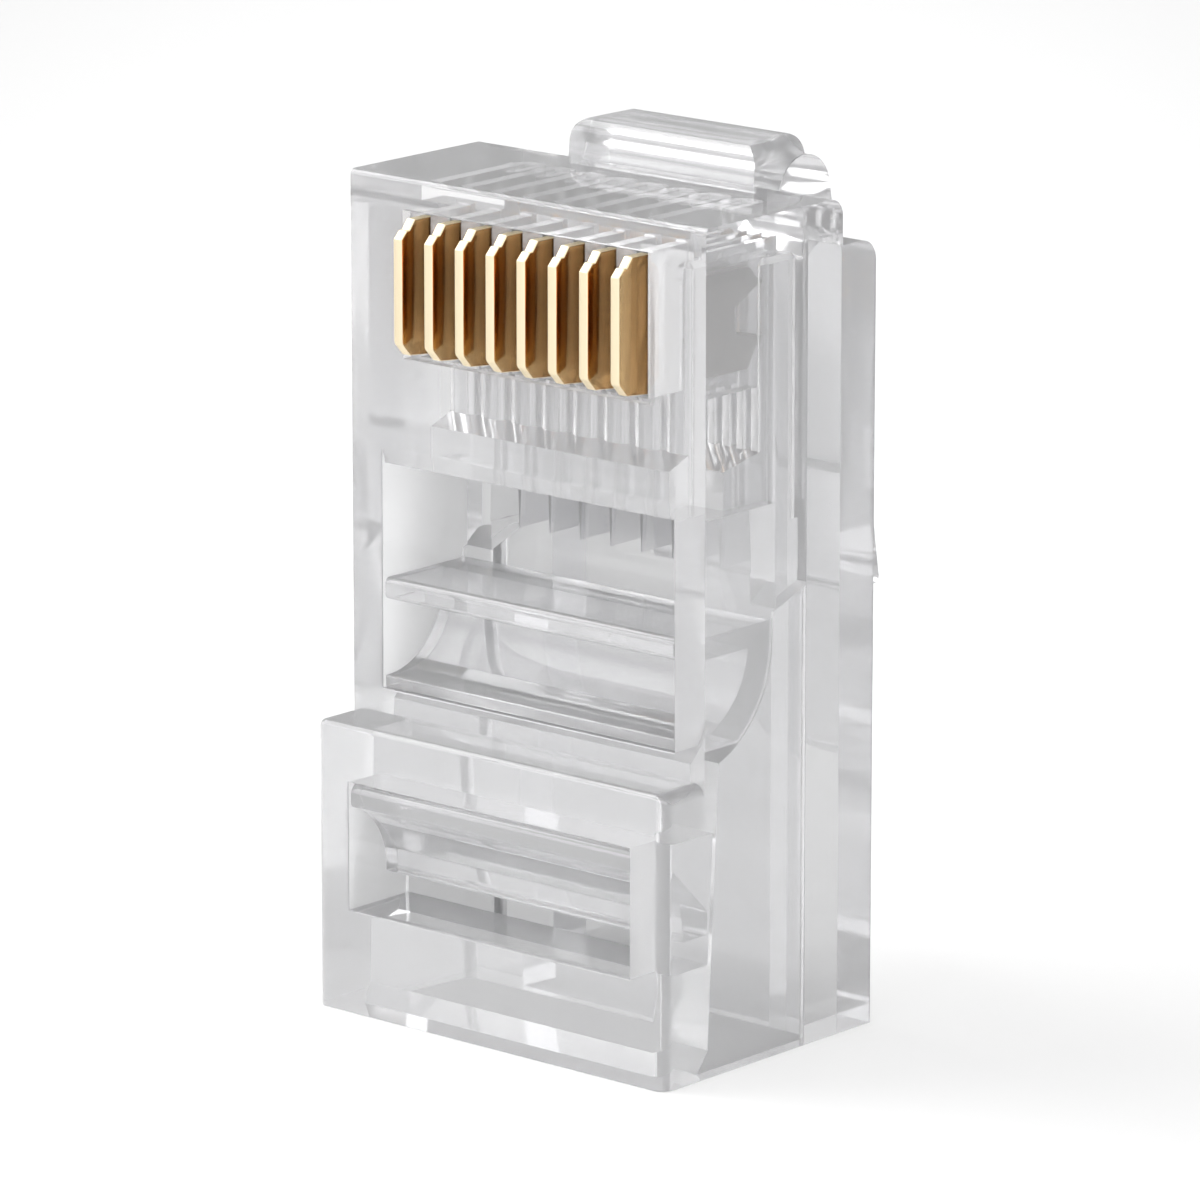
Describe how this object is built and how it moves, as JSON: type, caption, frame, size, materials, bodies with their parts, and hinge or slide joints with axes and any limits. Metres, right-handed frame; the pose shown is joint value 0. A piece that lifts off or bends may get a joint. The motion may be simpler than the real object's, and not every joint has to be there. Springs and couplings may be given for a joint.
{
  "type": "rj45 modular plug",
  "caption": "Clear modular data plug before crimping, with gold contact blades, a hinged latch, a wire clamp and a cable jacket clamp.",
  "frame": {"origin": "centre of the rear part's rectangle on the flat cable end, in the middle of the cable mouth", "axes": "+Z from the cable end to the nose, +X across the contacts, -Y towards the contacts and +Y towards the latch"},
  "size_m": [0.0116, 0.0132, 0.0224],
  "materials": {
    "clear_polycarbonate": "clear injection-moulded polycarbonate, polished",
    "gold_contact": "gold-plated stamped copper alloy, bright"
  },
  "bodies": {
    "housing": {"housing": "clear_polycarbonate"},
    "latch": {"latch": "clear_polycarbonate"},
    "wire_clamp": {"wire_clamp": "clear_polycarbonate"},
    "jacket_clamp": {"jacket_clamp": "clear_polycarbonate"},
    "contact_1": {"contact_1": "gold_contact"},
    "contact_2": {"contact_2": "gold_contact"},
    "contact_3": {"contact_3": "gold_contact"},
    "contact_4": {"contact_4": "gold_contact"},
    "contact_5": {"contact_5": "gold_contact"},
    "contact_6": {"contact_6": "gold_contact"},
    "contact_7": {"contact_7": "gold_contact"},
    "contact_8": {"contact_8": "gold_contact"}
  },
  "joints": [
    {"name": "latch_press", "type": "hinge", "parent": "housing", "child": "latch", "pos_m": [0, 0.0046, 0.02091], "axis": [-1, 0, 0], "range_deg": [0, 16], "stiffness_Nm_per_rad": 0.3},
    {"name": "wire_clamp_press", "type": "hinge", "parent": "housing", "child": "wire_clamp", "pos_m": [0, -0.00068, 0.00823], "axis": [-1, 0, 0], "range_deg": [0, 12]},
    {"name": "jacket_clamp_press", "type": "hinge", "parent": "housing", "child": "jacket_clamp", "pos_m": [0, -0.00365, 0.00572], "axis": [1, 0, 0], "range_deg": [0, 24]},
    {"name": "contact_1_crimp", "type": "slide", "parent": "housing", "child": "contact_1", "axis": [0, 1, 0], "range_m": [0, 0.0012]},
    {"name": "contact_2_crimp", "type": "slide", "parent": "housing", "child": "contact_2", "axis": [0, 1, 0], "range_m": [0, 0.0012]},
    {"name": "contact_3_crimp", "type": "slide", "parent": "housing", "child": "contact_3", "axis": [0, 1, 0], "range_m": [0, 0.0012]},
    {"name": "contact_4_crimp", "type": "slide", "parent": "housing", "child": "contact_4", "axis": [0, 1, 0], "range_m": [0, 0.0012]},
    {"name": "contact_5_crimp", "type": "slide", "parent": "housing", "child": "contact_5", "axis": [0, 1, 0], "range_m": [0, 0.0012]},
    {"name": "contact_6_crimp", "type": "slide", "parent": "housing", "child": "contact_6", "axis": [0, 1, 0], "range_m": [0, 0.0012]},
    {"name": "contact_7_crimp", "type": "slide", "parent": "housing", "child": "contact_7", "axis": [0, 1, 0], "range_m": [0, 0.0012]},
    {"name": "contact_8_crimp", "type": "slide", "parent": "housing", "child": "contact_8", "axis": [0, 1, 0], "range_m": [0, 0.0012]}
  ]
}
